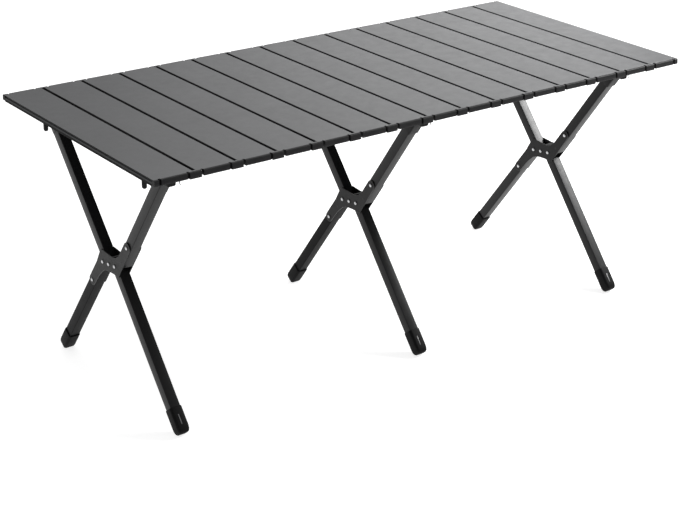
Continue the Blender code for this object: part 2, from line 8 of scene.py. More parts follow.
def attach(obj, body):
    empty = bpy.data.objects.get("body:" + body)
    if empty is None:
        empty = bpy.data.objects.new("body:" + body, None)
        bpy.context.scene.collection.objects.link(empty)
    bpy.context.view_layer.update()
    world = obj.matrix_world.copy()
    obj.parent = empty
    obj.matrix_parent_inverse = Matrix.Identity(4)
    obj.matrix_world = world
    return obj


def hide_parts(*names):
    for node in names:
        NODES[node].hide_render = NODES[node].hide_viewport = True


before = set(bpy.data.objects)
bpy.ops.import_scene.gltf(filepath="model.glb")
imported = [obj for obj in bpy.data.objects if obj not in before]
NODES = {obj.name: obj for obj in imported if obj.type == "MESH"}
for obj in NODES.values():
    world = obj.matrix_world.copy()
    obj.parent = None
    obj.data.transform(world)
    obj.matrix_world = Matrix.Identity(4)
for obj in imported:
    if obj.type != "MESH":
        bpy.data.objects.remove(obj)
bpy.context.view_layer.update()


# ------------------------------------------------------------------ dimensions (row frame, metres)
TOP_LENGTH, TOP_WIDTH, TOP_Z, THICK = 1.200, 0.5416, 0.510, 0.010
COUNT, PITCH, GAP = 15, 0.0804, 0.0062
END_DEPTH = 0.0083
LINK_HALF = 0.0133
GROOVE = 0.0044
NOSE = 0.0044                  # depth of the dark rounded edge in front of the skin
LINK_DROP = 0.0013
SKIN_T = 0.0010
FRAME_X = {"left": -0.5276, "mid": 0.0095, "right": 0.5226}
TUBE = 0.020
HUB = (0.0080, 0.2509)
P_BACK = (0.0298, 0.2480)
P_FRONT = (-0.0138, 0.2538)
R_UP = (-0.0603, 0.3057)
R_LOW = (0.0736, 0.1964)
A_BACK_ARM, A_FRONT_ARM, A_BACK_LEG, A_FRONT_LEG = 49.2, 54.8, 53.3, 50.3
RAIL = 0.016
BACK_RAIL_Y, FRONT_RAIL_Y = 0.2280, -0.1910
SOCKET_TOP = TOP_Z - THICK - 0.0005


# ------------------------------------------------------------------ materials
def shader(name):
    mat = bpy.data.materials.new(name)
    mat.use_nodes = True
    nt = mat.node_tree
    nt.nodes.clear()
    out = nt.nodes.new("ShaderNodeOutputMaterial")
    bsdf = nt.nodes.new("ShaderNodeBsdfPrincipled")
    nt.links.new(bsdf.outputs[0], out.inputs[0])
    coords = nt.nodes.new("ShaderNodeTexCoord")
    return mat, nt, bsdf, coords


def scaled(nt, coords, scale):
    m = nt.nodes.new("ShaderNodeMapping")
    m.inputs["Scale"].default_value = scale
    nt.links.new(coords.outputs["Object"], m.inputs["Vector"])
    return m.outputs[0]


def noise(nt, vector, scale, detail=4.0, rough=0.5):
    n = nt.nodes.new("ShaderNodeTexNoise")
    n.inputs["Scale"].default_value = scale
    n.inputs["Detail"].default_value = detail
    n.inputs["Roughness"].default_value = rough
    nt.links.new(vector, n.inputs["Vector"])
    return n.outputs["Fac"]


def remap(nt, fac, lo, hi, a, b):
    m = nt.nodes.new("ShaderNodeMapRange")
    m.inputs["From Min"].default_value = lo
    m.inputs["From Max"].default_value = hi
    m.inputs["To Min"].default_value = a
    m.inputs["To Max"].default_value = b
    nt.links.new(fac, m.inputs["Value"])
    return m.outputs[0]


def ramp(nt, fac, stops):
    r = nt.nodes.new("ShaderNodeValToRGB")
    while len(r.color_ramp.elements) < len(stops):
        r.color_ramp.elements.new(0.5)
    for e, (p, c) in zip(r.color_ramp.elements, stops):
        e.position = p
        e.color = (*c, 1.0)
    nt.links.new(fac, r.inputs["Fac"])
    return r.outputs["Color"]


def math_node(nt, op, a, b):
    m = nt.nodes.new("ShaderNodeMath")
    m.operation = op
    for i, v in enumerate((a, b)):
        if isinstance(v, (int, float)):
            m.inputs[i].default_value = v
        else:
            nt.links.new(v, m.inputs[i])
    return m.outputs[0]


def mix_color(nt, fac, a, b, mode="MIX"):
    m = nt.nodes.new("ShaderNodeMix")
    m.data_type = "RGBA"
    m.blend_type = mode
    if isinstance(fac, (int, float)):
        m.inputs["Factor"].default_value = fac
    else:
        nt.links.new(fac, m.inputs["Factor"])
    for key, v in (("A", a), ("B", b)):
        sock = [s for s in m.inputs if s.name == key and s.type == "RGBA"][0]
        if isinstance(v, tuple):
            sock.default_value = (*v, 1.0)
        else:
            nt.links.new(v, sock)
    return [s for s in m.outputs if s.type == "RGBA"][0]


def bump(nt, bsdf, height, strength, distance, after=None):
    b = nt.nodes.new("ShaderNodeBump")
    b.inputs["Strength"].default_value = strength
    b.inputs["Distance"].default_value = distance
    nt.links.new(height, b.inputs["Height"])
    if after is not None:
        nt.links.new(after, b.inputs["Normal"])
    nt.links.new(b.outputs[0], bsdf.inputs["Normal"])
    return b.outputs[0]


def coated(name, base, rough, metallic=0.0, peel=0.10, streak=None, wear=0.0, spec=0.5):
    """Satin coating: soft tone variation, fine peel, optional drawing streaks, faint rubbed patches."""
    mat, nt, bsdf, coords = shader(name)
    cloud = noise(nt, scaled(nt, coords, (1, 1, 1)), 9.0, 5.0, 0.6)
    dark = tuple(c * 0.86 for c in base)
    light = tuple(min(1.0, c * 1.14) for c in base)
    colour = ramp(nt, cloud, [(0.30, dark), (0.70, light)])
    fine = noise(nt, scaled(nt, coords, (1, 1, 1)), 1500.0, 2.0, 0.5)
    roughness = remap(nt, noise(nt, scaled(nt, coords, (1, 1, 1)), 45.0, 6.0, 0.65), 0.3, 0.7, rough - 0.035, rough + 0.045)
    normal = bump(nt, bsdf, fine, peel, 0.00025)
    if streak:
        lines = noise(nt, scaled(nt, coords, streak), 1.0, 3.0, 0.7)
        normal = bump(nt, bsdf, lines, 0.06, 0.0002, after=normal)
        roughness = math_node(nt, "ADD", roughness, remap(nt, lines, 0.3, 0.7, -0.015, 0.015))
        colour = mix_color(nt, 0.3, colour, ramp(nt, lines, [(0.32, dark), (0.68, light)]))
    if wear:
        rub = noise(nt, scaled(nt, coords, (1, 1, 1)), 130.0, 8.0, 0.75)
        mask = remap(nt, rub, 0.62, 0.74, 0.0, wear)
        colour = mix_color(nt, mask, colour, tuple(min(1.0, c * 3.2 + 0.03) for c in base))
    nt.links.new(colour, bsdf.inputs["Base Color"])
    nt.links.new(roughness, bsdf.inputs["Roughness"])
    bsdf.inputs["Metallic"].default_value = metallic
    bsdf.inputs["Specular IOR Level"].default_value = spec
    return mat


def plastic(name, base, rough, grain=0.25, spec=0.45):
    """Moulded plastic with a fine spark-eroded grain and faint scuffs."""
    mat, nt, bsdf, coords = shader(name)
    v = scaled(nt, coords, (1, 1, 1))
    cloud = noise(nt, v, 30.0, 4.0, 0.6)
    colour = ramp(nt, cloud, [(0.3, tuple(c * 0.85 for c in base)), (0.72, tuple(c * 1.18 for c in base))])
    scuff = noise(nt, scaled(nt, coords, (60, 400, 160)), 1.0, 6.0, 0.8)
    colour = mix_color(nt, remap(nt, scuff, 0.62, 0.78, 0.0, 0.35), colour, tuple(c * 2.2 + 0.01 for c in base))
    cells = nt.nodes.new("ShaderNodeTexVoronoi")
    cells.inputs["Scale"].default_value = 1700.0
    nt.links.new(v, cells.inputs["Vector"])
    bump(nt, bsdf, cells.outputs["Distance"], grain, 0.00015)
    nt.links.new(colour, bsdf.inputs["Base Color"])
    nt.links.new(remap(nt, cloud, 0.3, 0.7, rough - 0.05, rough + 0.07), bsdf.inputs["Roughness"])
    bsdf.inputs["Specular IOR Level"].default_value = spec
    return mat


def metal(name, base, rough):
    """Bright turned steel with fine rings of tool marks and faint tarnish."""
    mat, nt, bsdf, coords = shader(name)
    v = scaled(nt, coords, (1, 1, 1))
    fine = noise(nt, v, 2600.0, 3.0, 0.6)
    tarnish = noise(nt, v, 300.0, 4.0, 0.6)
    colour = ramp(nt, tarnish, [(0.35, tuple(c * 0.82 for c in base)), (0.65, base)])
    nt.links.new(colour, bsdf.inputs["Base Color"])
    nt.links.new(remap(nt, fine, 0.3, 0.7, rough - 0.05, rough + 0.08), bsdf.inputs["Roughness"])
    bump(nt, bsdf, fine, 0.08, 0.0001)
    bsdf.inputs["Metallic"].default_value = 1.0
    return mat


M_SLAT = coated("slat_coating", (0.048, 0.049, 0.051), 0.36, 0.0, 0.10, streak=(900, 5, 900), wear=0.05, spec=0.5)
# painted shade: a near-black, barely glossy copy of the slat coating for the slats' end faces
M_SLAT_SIDE_PAINTED_SHADE = coated("slat_side", (0.0040, 0.0040, 0.0042), 0.60, 0.0, 0.10, spec=0.08)
# painted shade: a darker copy of the slat coating for a middle band on the outer slats' short end faces
M_SLAT_BAND_PAINTED_SHADE = coated("slat_band", (0.030, 0.030, 0.032), 0.40, 0.0, 0.10, spec=0.4)
# painted highlight with rubbed wear: a lighter copy of the slat coating for bevelled edges; no part uses it
M_SLAT_EDGE_HIGHLIGHT_AND_WEAR = coated("slat_edge", (0.085, 0.086, 0.088), 0.30, 0.0, 0.06, wear=0.15, spec=0.6)
M_TUBE = coated("tube_coating", (0.0055, 0.0055, 0.0058), 0.33, 0.0, 0.14, wear=0.05, spec=0.17)
# painted highlight with rubbed wear: a lighter copy of the black coating for bevelled edges of the hub plates and
# saddle
M_EDGE_HIGHLIGHT_AND_WEAR = coated("edge_painted_highlight_and_wear", (0.016, 0.016, 0.017), 0.34, 0.0, 0.08, wear=0.2, spec=0.5)
M_PLATE = coated("hub_plate_coating", (0.0070, 0.0068, 0.0068), 0.42, 0.0, 0.22, wear=0.06, spec=0.18)
M_PLASTIC = plastic("moulded_black", (0.0050, 0.0050, 0.0052), 0.50, spec=0.12)
M_CAP = plastic("end_cap_black", (0.0105, 0.0105, 0.0110), 0.46, 0.2, spec=0.13)
# painted shade: a near-black filler for the grooves in the slat ends and the slots in the front feet
M_SHADOW = plastic("painted_shade_black", (0.003, 0.003, 0.003), 0.75, 0.1, spec=0.05)
M_FOOT = plastic("foot_rubber", (0.0050, 0.0050, 0.0052), 0.50, 0.3, spec=0.07)
M_STEEL = metal("rivet_steel", (0.56, 0.56, 0.57), 0.26)
# painted highlight: a light grey plastic for the raised lip beside the front feet's slot
M_LIP_PAINTED_HIGHLIGHT = plastic("foot_lip_painted_highlight", (0.100, 0.100, 0.102), 0.40, 0.2, spec=0.5)
# painted shade: a darker, less glossy copy of the tube coating for the back lower legs of the left and middle frames
M_TUBE_PAINTED_SHADE = coated("tube_coating_painted_shade", (0.0045, 0.0045, 0.0048), 0.40, 0.0, 0.14, wear=0.05, spec=0.05)
# painted shade and painted light: a thin sheet on the inner hub plate, dark on the left and middle frames and bright on
# the right frame
M_PAINTED_SHADE_SHEET = metal("painted_shade_sheet", (0.060, 0.060, 0.061), 0.42)
M_PAINTED_LIGHT_SHEET = metal("painted_light_sheet", (0.32, 0.32, 0.33), 0.42)
M_RIM = plastic("rivet_collar", (0.006, 0.006, 0.006), 0.5, 0.1)


# ------------------------------------------------------------------ mesh helpers
def finish(name, bm, mats, body, bevel=0.0, segments=2, edge_mat=None, angle=32.0, location=None, smooth=True):
    bmesh.ops.recalc_face_normals(bm, faces=bm.faces)
    me = bpy.data.meshes.new(name)
    bm.to_mesh(me)
    bm.free()
    obj = bpy.data.objects.new(name, me)
    bpy.context.scene.collection.objects.link(obj)
    for m in (mats if isinstance(mats, (list, tuple)) else [mats]):
        me.materials.append(m)
    if smooth:
        me.shade_smooth()
        if not bevel:
            me.set_sharp_from_angle(angle=math.radians(angle))
    if bevel:
        mod = obj.modifiers.new("edge", "BEVEL")
        mod.width = bevel
        mod.segments = segments
        mod.limit_method = "ANGLE"
        mod.angle_limit = math.radians(angle)
        mod.harden_normals = True
        mod.miter_outer = "MITER_ARC"
        if edge_mat is not None:
            me.materials.append(edge_mat)
            mod.material = len(me.materials) - 1
    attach(obj, body)
    return obj


def prism(bm, outline, to_point, vec, mat=0):
    face = bm.faces.new([bm.verts.new(to_point(a, b)) for a, b in outline])
    out = bmesh.ops.extrude_face_region(bm, geom=[face])
    verts = [g for g in out["geom"] if isinstance(g, bmesh.types.BMVert)]
    bmesh.ops.translate(bm, verts=verts, vec=vec)
    face.material_index = mat
    for g in out["geom"]:
        if isinstance(g, bmesh.types.BMFace):
            g.material_index = mat


def rounded(hx, hy, r, steps=4, cx=0.0, cy=0.0):
    pts = []
    for sx, sy, start in ((1, 1, 0), (-1, 1, 90), (-1, -1, 180), (1, -1, 270)):
        for k in range(steps + 1):
            a = math.radians(start + 90.0 * k / steps)
            pts.append((cx + sx * (hx - r) + r * math.cos(a), cy + sy * (hy - r) + r * math.sin(a)))
    return pts


def skin_loops(bm, loops, mat=0, closed_start=True, closed_end=True):
    """Joins rings of equal length into a closed body."""
    rings = [[bm.verts.new(p) for p in loop] for loop in loops]
    n = len(rings[0])
    faces = []
    for a, b in zip(rings, rings[1:]):
        for k in range(n):
            m = (k + 1) % n
            faces.append(bm.faces.new((a[k], a[m], b[m], b[k])))
    if closed_start:
        faces.append(bm.faces.new(list(reversed(rings[0]))))
    if closed_end:
        faces.append(bm.faces.new(rings[-1]))
    for f in faces:
        f.material_index = mat
    return rings


def lathe_x(bm, profile, y, z, x0=0.0, segments=28, mat=0):
    rings = []
    for x, r in profile:
        if r < 1e-7:
            rings.append([bm.verts.new((x0 + x, y, z))])
        else:
            rings.append([bm.verts.new((x0 + x, y + r * math.cos(2 * math.pi * k / segments),
                                        z + r * math.sin(2 * math.pi * k / segments))) for k in range(segments)])
    for a, b in zip(rings, rings[1:]):
        for k in range(segments):
            n = (k + 1) % segments
            if len(a) == 1:
                f = bm.faces.new((a[0], b[n], b[k]))
            elif len(b) == 1:
                f = bm.faces.new((a[k], a[n], b[0]))
            else:
                f = bm.faces.new((a[k], a[n], b[n], b[k]))
            f.material_index = mat


def box(bm, lo, hi, mat=0):
    v = [bm.verts.new((x, y, z)) for x in (lo[0], hi[0]) for y in (lo[1], hi[1]) for z in (lo[2], hi[2])]
    for a, b, c, d in ((0, 1, 3, 2), (4, 6, 7, 5), (0, 4, 5, 1), (2, 3, 7, 6), (0, 2, 6, 4), (1, 5, 7, 3)):
        f = bm.faces.new((v[a], v[b], v[c], v[d]))
        f.material_index = mat


class Line:
    """A leg's centre line in its frame's plane: local u along the leg, v across it (upper side), x along the table."""

    def __init__(self, x, start, end):
        self.x, self.start = x, start
        dy, dz = end[0] - start[0], end[1] - start[1]
        self.length = math.hypot(dy, dz)
        self.d = (dy / self.length, dz / self.length)
        n = (-self.d[1], self.d[0])
        if n[1] < 0:
            n = (-n[0], -n[1])
        self.n = n

    def at(self, u, v, x=0.0):
        return (self.x + x, self.start[0] + self.d[0] * u + self.n[0] * v, self.start[1] + self.d[1] * u + self.n[1] * v)


def leg_point(point, angle, forward, distance, up=True):
    a = math.radians(angle)
    return (point[0] + forward * math.cos(a) * distance, point[1] + (1 if up else -1) * math.sin(a) * distance)


def offset(point, angle, forward, up, shift):
    a = math.radians(angle)
    dy, dz = forward * math.cos(a), (1 if up else -1) * math.sin(a)
    ny, nz = -dz, dy
    if nz < 0:
        ny, nz = -ny, -nz
    return (point[0] + ny * shift, point[1] + nz * shift)


def at_height(point, angle, forward, z):
    return (point[0] + forward * abs(z - point[1]) / math.tan(math.radians(angle)), z)


BACK_ROOT = offset(P_BACK, A_BACK_ARM, 1, True, 0.0078)
FRONT_ROOT = offset(P_FRONT, A_FRONT_LEG, -1, False, -0.0058)
LEGS = {
    "back_upper_arm": (leg_point(BACK_ROOT, A_BACK_ARM, 1, -0.0050), at_height(BACK_ROOT, A_BACK_ARM, 1, 0.4710)),
    "front_upper_arm": (leg_point(R_UP, A_FRONT_ARM, -1, -0.0500), at_height(R_UP, A_FRONT_ARM, -1, 0.4710)),
    "back_lower_leg": (leg_point(R_LOW, A_BACK_LEG, 1, -0.0485, False), at_height(R_LOW, A_BACK_LEG, 1, 0.0130)),
    "front_lower_leg": (leg_point(FRONT_ROOT, A_FRONT_LEG, -1, -0.0050, False), at_height(FRONT_ROOT, A_FRONT_LEG, -1, 0.0130)),
}
BODY = {"back_upper_arm": "_back_arm", "front_upper_arm": "_frame", "back_lower_leg": "_frame", "front_lower_leg": "_front_leg"}


# ------------------------------------------------------------------ the roll-up top
def gap_x(k):
    return (k - COUNT / 2) * PITCH


def slat_body(k):
    return "top_middle" if k == 8 else "top_slat_%02d" % k


def end_profile(side, drop):
    """Cross-section of a moulded end piece: rounded top edge, a ridge along its face, a flat base. side is -1 or +1."""
    hy = TOP_WIDTH / 2
    pts = ((8.2, 1.10), (4.45, 1.10), (4.45, 0.10), (3.2, 0.14), (2.0, 0.36), (1.1, 0.80), (0.6, 1.45), (0.42, 2.3), (0.42, 5.4),
           (0.08, 5.9), (0.06, drop * 1000 - 0.35), (0.30, drop * 1000 - 0.05), (8.2, drop * 1000 - 0.05))
    return [(side * (hy - d / 1000), TOP_Z - z / 1000) for d, z in pts]


def slat(k):
    left = -TOP_LENGTH / 2 if k == 1 else gap_x(k - 1) + GAP / 2
    right = TOP_LENGTH / 2 if k == COUNT else gap_x(k) - GAP / 2
    body = slat_body(k)
    name = "slat_%02d" % k
    hy = TOP_WIDTH / 2
    ends = []                       # x of the grooves in the front and back faces
    ends.append(-TOP_LENGTH / 2 + 0.0110 if k == 1 else gap_x(k - 1) + LINK_HALF)
    ends.append(TOP_LENGTH / 2 - 0.0110 if k == COUNT else gap_x(k) - LINK_HALF)
    if k == COUNT:
        ends = [ends[0], ends[1]]

    # top skin, its edge notched above every groove
    front, back = [], []
    nd, nw = 0.0022, GROOVE / 2 * 0.85
    hs = hy - NOSE
    for e in ends:
        front += [(e - nw, -hs), (e - nw, -hs + nd), (e + nw, -hs + nd), (e + nw, -hs)]
        back += [(e - nw, hs), (e - nw, hs - nd), (e + nw, hs - nd), (e + nw, hs)]
    outline = [(left, -hs)] + front + [(right, -hs), (right, hs)] + list(reversed(back)) + [(left, hs)]
    bm = bmesh.new()
    prism(bm, outline, lambda a, b: (a, b, TOP_Z - SKIN_T), (0, 0, SKIN_T))
    bmesh.ops.recalc_face_normals(bm, faces=bm.faces)
    # the skin's end faces at the gaps take the painted-shade side copy
    for f in bm.faces:
        c = f.calc_center_median()
        if abs(f.normal.x) > 0.9 and (c.x < left + 0.0005 or c.x > right - 0.0005):
            f.material_index = 1
    skin = finish(name + "_skin", bm, [M_SLAT, M_SLAT_SIDE_PAINTED_SHADE], body, 0.0003, 2, None, 40)
    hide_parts(name)

    # channel under the skin
    w = right - left
    h, t = THICK - SKIN_T - 0.00005, 0.0014
    r1, r2 = w / 3, 2 * w / 3
    rb = 0.0006
    lip = 0.009
    edge_l = [(0.0, -0.0030), (0.0042, -0.0030), (0.0042, 0.0)] if k == 1 else [(0.0, 0.0)]
    edge_r = [(w - 0.0042, 0.0), (w - 0.0042, -0.0030), (w, -0.0030)] if k == COUNT else [(w, 0.0)]
    low_l = [(0.0003, -h - 0.0020), (0.0003, -h + 0.0026), (0.0, -h + 0.0026)] if k == 1 else [(0.0, -h)]
    low_r = [(w, -h + 0.0026), (w - 0.0003, -h + 0.0026), (w - 0.0003, -h - 0.0020)] if k == COUNT else [(w, -h)]
    in_l = 0.0042 + t if k == 1 else t
    in_r = w - 0.0042 - t if k == COUNT else w - t
    section = (list(reversed(edge_l))[0:0] + [p for p in (edge_l[::-1])] + [p for p in edge_r] + low_r
               + [(w - lip, -h), (w - lip, -h + t), (in_r, -h + t), (in_r, -t),
                  (r2 + rb, -t), (r2 + rb, -h + t), (r2 + 0.004, -h + t), (r2 + 0.004, -h), (r2 - 0.004, -h),
                  (r2 - 0.004, -h + t), (r2 - rb, -h + t), (r2 - rb, -t),
                  (r1 + rb, -t), (r1 + rb, -h + t), (r1 + 0.004, -h + t), (r1 + 0.004, -h), (r1 - 0.004, -h),
                  (r1 - 0.004, -h + t), (r1 - rb, -h + t), (r1 - rb, -t),
                  (in_l, -t), (in_l, -h + t), (lip, -h + t), (lip, -h)] + low_l)
    bm = bmesh.new()
    y1 = hy - END_DEPTH - 0.0004
    prism(bm, section, lambda a, b: (left + a, -y1, TOP_Z - SKIN_T - 0.00005 + b), (0, 2 * y1, 0))
    bmesh.ops.recalc_face_normals(bm, faces=bm.faces)
    ztop = TOP_Z - SKIN_T - 0.00005
    # end faces along the table take the painted-shade side copy
    for f in bm.faces:
        c = f.calc_center_median()
        out = c.x < left + 0.0045 or c.x > right - 0.0045
        if abs(f.normal.x) > 0.9 and out and (k != 1 or c.x > 0 or c.z > ztop - 0.0030 or c.z < ztop - h + 0.0026) \
                and (k != COUNT or c.x < 0 or c.z > ztop - 0.0030 or c.z < ztop - h + 0.0026):
            f.material_index = 1
        # on the outer slats' short end faces a middle band takes the lighter painted-shade copy
        elif abs(f.normal.x) > 0.9 and out:
            f.material_index = 2
        # groove faces at the outer slats' short edges take the near-black painted shade
        edge = c.x - left if k == 1 else right - c.x if k == COUNT else 1.0
        if edge < 0.0043 and c.z > ztop - 0.0031:
            f.material_index = 3
    finish(name + "_channel", bm, [M_SLAT, M_SLAT_SIDE_PAINTED_SHADE, M_SLAT_BAND_PAINTED_SHADE, M_SHADOW], body, 0.0002, 1, None, 40)

    # moulded pieces in the ends, with a step along the face
    top = TOP_Z - SKIN_T - 0.0001
    bm = bmesh.new()
    g = GROOVE / 2
    pieces = [(ends[0] + g, ends[1] - g)]
    if k == 1:
        pieces.append((left + 0.0002, ends[0] - g))
    else:
        pass
    if k == COUNT:
        pieces.append((ends[1] + g, right - 0.0002))
    for side in (-1, 1):
        for a, b in pieces:
            prism(bm, end_profile(side, THICK + 0.0006), lambda y, z, a=a: (a, y, z), (b - a, 0, 0))
    finish(name + "_end_caps", bm, M_CAP, body, 0.0002, 2, None, 50)
    # tongues in near-black painted shade that lie back in the grooves between the pieces
    bm = bmesh.new()
    for side in (-1, 1):
        ya, yb = sorted((side * (hy - 0.0022), side * (hy - END_DEPTH + 0.0006)))
        for n, e in enumerate(ends):
            if k > 1 and n == 0:
                continue
            box(bm, (e - g - 0.0002, ya, TOP_Z - THICK - 0.0005), (e + g + 0.0002, yb, top - 0.0002))
    finish(name + "_tongues", bm, M_SHADOW, body, 0.0002, 1, None, 35)

    # hinge links that reach across the gap under the next slat's skin
    if k < COUNT:
        gx = gap_x(k)
        bm = bmesh.new()
        for side in (-1, 1):
            a, b = gx - LINK_HALF + g, gx + LINK_HALF - g
            prism(bm, end_profile(side, THICK + 0.0006 + LINK_DROP), lambda y, z, a=a: (a, y, z), (b - a, 0, 0))
        finish(name + "_links", bm, M_CAP, body, 0.0002, 2, None, 50)
        # the link's crown that closes the end of the gap, flush with the slats
        bm = bmesh.new()
        for side in (-1, 1):
            ya, yb = sorted((side * hs, side * (hy - END_DEPTH + 0.0004)))
            box(bm, (gx - GAP / 2 + 0.0001, ya, top - 0.0006), (gx + GAP / 2 - 0.0001, yb, TOP_Z - 0.00005))
        finish(name + "_link_crowns", bm, M_SLAT, body, 0.0002, 1, None, 35)


for k in range(1, COUNT + 1):
    slat(k)


# ------------------------------------------------------------------ leg frames
def tube(name, line, half, wall, corner, body, node, mats=(M_TUBE, M_EDGE_HIGHLIGHT_AND_WEAR)):
    bm = bmesh.new()
    outer = rounded(half, half, corner, 5)
    inner = rounded(half - wall, half - wall, 0.0006, 5)
    loops = []
    for u, loop in ((0.0, outer), (line.length, outer), (line.length, inner), (0.0, inner), (0.0, outer)):
        loops.append([line.at(u, b, a) for a, b in loop])
    rings = [[bm.verts.new(p) for p in loop] for loop in loops[:-1]]
    rings.append(rings[0])
    n = len(outer)
    for a, b in zip(rings, rings[1:]):
        for k in range(n):
            m = (k + 1) % n
            bm.faces.new((a[k], a[m], b[m], b[k]))
    obj = finish(name, bm, mats[0], body, 0.0, angle=40)
    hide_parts(node)
    return obj


def hub_outline(lap, fillet):
    half = TUBE / 2
    u, l = math.radians(A_FRONT_ARM), math.radians(A_BACK_LEG)
    up_dir, up_nrm = Vector((-math.cos(u), math.sin(u))), Vector((math.sin(u), math.cos(u)))
    low_dir, low_nrm = Vector((math.cos(l), -math.sin(l))), Vector((-math.sin(l), -math.cos(l)))
    ru, rl, mid = Vector(R_UP), Vector(R_LOW), Vector(HUB)
    pts = []
    for k in range(17):
        a = math.pi * k / 16
        pts.append(ru + up_dir * (0.0005 + half * math.sin(a)) + up_nrm * (half * math.cos(a)))
    pts.append(ru - up_nrm * (half + lap) - up_dir * 0.0760)
    for y, z in ((-0.0240, -0.0134), (-0.0100, -0.0136), (0.0020, -0.0144), (0.0120, -0.0164), (0.0200, -0.0196)):
        pts.append(mid + Vector((y, z)))
    if fillet:
        pts.append(mid + Vector((0.0270, -0.0252)))
        pts.append(rl + low_nrm * (half + 0.0006) - low_dir * 0.0300)
    else:
        pts.append(rl + low_nrm * half - low_dir * 0.0480)
    for k in range(17):
        a = math.pi * k / 16
        pts.append(rl + low_dir * (0.0005 + half * math.sin(a)) + low_nrm * (half * math.cos(a)))
    pts.append(rl - low_nrm * half - low_dir * 0.0480)
    pts.append(mid + Vector((0.0300, 0.0165)))
    pts.append(mid + Vector((0.0270, 0.0202)))
    for y, z in ((0.0180, 0.0206), (0.0060, 0.0196), (-0.0060, 0.0186), (-0.0180, 0.0188), (-0.0270, 0.0208)):
        pts.append(mid + Vector((y, z)))
    pts.append(ru + up_nrm * half - up_dir * 0.0400)
    return [(p.x, p.y) for p in pts]


OUTLINE = {"outer": hub_outline(0.0020, True), "inner": hub_outline(-0.0005, False)}


def rivet_head(bm, x_face, out, y, z):
    """A collar and a dome on a face at x_face; out is -1 or +1."""
    collar = [(0.0, 0.0046), (0.0003, 0.0047), (0.0007, 0.0045), (0.0008, 0.0038), (0.0005, 0.0034), (0.0005, 0.0)]
    lathe_x(bm, [(out * -0.0002, 0.0)] + [(out * a, r) for a, r in collar], y, z, x_face, 28, 1)
    dome = [(0.0004, 0.0034), (0.0009, 0.0033), (0.0013, 0.0029), (0.00155, 0.0022), (0.0016, 0.0012), (0.0016, 0.0)]
    lathe_x(bm, [(out * 0.0004, 0.0)] + [(out * a, r) for a, r in dome], y, z, x_face, 28, 0)


def hub(tag):
    x = FRAME_X[tag]
    inner_face = TUBE / 2 + 0.0003
    for side, name in ((-1, "outer"), (1, "inner")):
        x0 = x + side * inner_face
        bm = bmesh.new()
        prism(bm, OUTLINE[name], lambda a, b: (x0, a, b), (side * 0.0020, 0, 0))
        # the plate's bevelled edges take the painted-highlight edge copy
        plate = finish("%s_hub_plate_%s_shell" % (tag, name), bm, M_PLATE, tag + "_frame", 0.0005, 3, M_EDGE_HIGHLIGHT_AND_WEAR, 40)
        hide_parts("%s_hub_plate_%s" % (tag, name))
    # rivets
    for node, point in (("back_pivot_rivet", P_BACK), ("front_pivot_rivet", P_FRONT)):
        bm = bmesh.new()
        for side in (-1, 1):
            rivet_head(bm, x + side * (inner_face + 0.0021), side, *point)
        lathe_x(bm, [(-inner_face - 0.002, 0.0), (-inner_face - 0.002, 0.0022), (inner_face + 0.002, 0.0022), (inner_face + 0.002, 0.0)],
                point[0], point[1], x, 20, 0)
        obj = finish("%s_%s_pin" % (tag, node), bm, [M_STEEL, M_RIM], tag + "_frame", 0.0, angle=50)
        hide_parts("%s_%s" % (tag, node))
    bm = bmesh.new()
    for point, r in ((HUB, 0.0030), (R_UP, 0.0022), (R_LOW, 0.0022)):
        for side in (-1, 1):
            rivet_head(bm, x + side * (inner_face + 0.0020), side, *point)
        if point is not HUB:
            lathe_x(bm, [(-inner_face - 0.001, 0.0), (-inner_face - 0.001, r), (inner_face + 0.001, r), (inner_face + 0.001, 0.0)],
                    point[0], point[1], x, 20, 0)
    finish(tag + "_fixed_rivets", bm, [M_STEEL, M_RIM], tag + "_frame", 0.0, angle=50)
    # bent strip that bridges the plates at the hollow upper edge
    bm = bmesh.new()
    arc = [(-0.0205, 0.0166), (-0.0190, 0.0180), (-0.0170, 0.0187), (-0.0140, 0.0188), (-0.0118, 0.0186)]
    under = [(-0.0118, 0.0172), (-0.0140, 0.0174), (-0.0165, 0.0173), (-0.0180, 0.0167), (-0.0193, 0.0156)]
    prism(bm, [(HUB[0] + a, HUB[1] + b) for a, b in arc + under], lambda a, b: (x - inner_face, a, b), (2 * inner_face, 0, 0))
    # the saddle's bevelled edges take the painted-highlight edge copy
    finish(tag + "_hub_saddle", bm, M_PLATE, tag + "_frame", 0.0003, 2, M_EDGE_HIGHLIGHT_AND_WEAR, 40)
    # thin sheet on the inner plate under the hollow upper edge, painted shade on the left and middle frames and painted
    # light on the right frame
    bm = bmesh.new()
    sheet_outline = [(-0.0215, 0.0150), (-0.0120, 0.0130), (0.0200, 0.0130), (0.0200, 0.0196), (0.0060, 0.0189), (-0.0060, 0.0179), (-0.0180, 0.0181), (-0.0215, 0.0186)]
    prism(bm, [(HUB[0] + a, HUB[1] + b) for a, b in sheet_outline], lambda a, b: (x + inner_face - 0.00002, a, b), (-0.00022, 0, 0))
    finish(tag + "_hub_painted_sheet", bm, M_PAINTED_LIGHT_SHEET if tag == "right" else M_PAINTED_SHADE_SHEET, tag + "_frame", 0.0, angle=40)
    # small pressed dimples beside the ears' roots
    bm = bmesh.new()
    for y, z in ((-0.0364, 0.2697), (0.0463, 0.2276)):
        for side in (-1, 1):
            lathe_x(bm, [(side * -0.0004, 0.0), (side * -0.0004, 0.0022), (side * 0.00015, 0.0021), (side * 0.00015, 0.0014),
                         (side * -0.0002, 0.0008), (side * -0.0002, 0.0)], y, z, x + side * (inner_face + 0.0020), 20, 0)
    finish(tag + "_hub_dimples", bm, M_RIM, tag + "_frame", 0.0, angle=50)


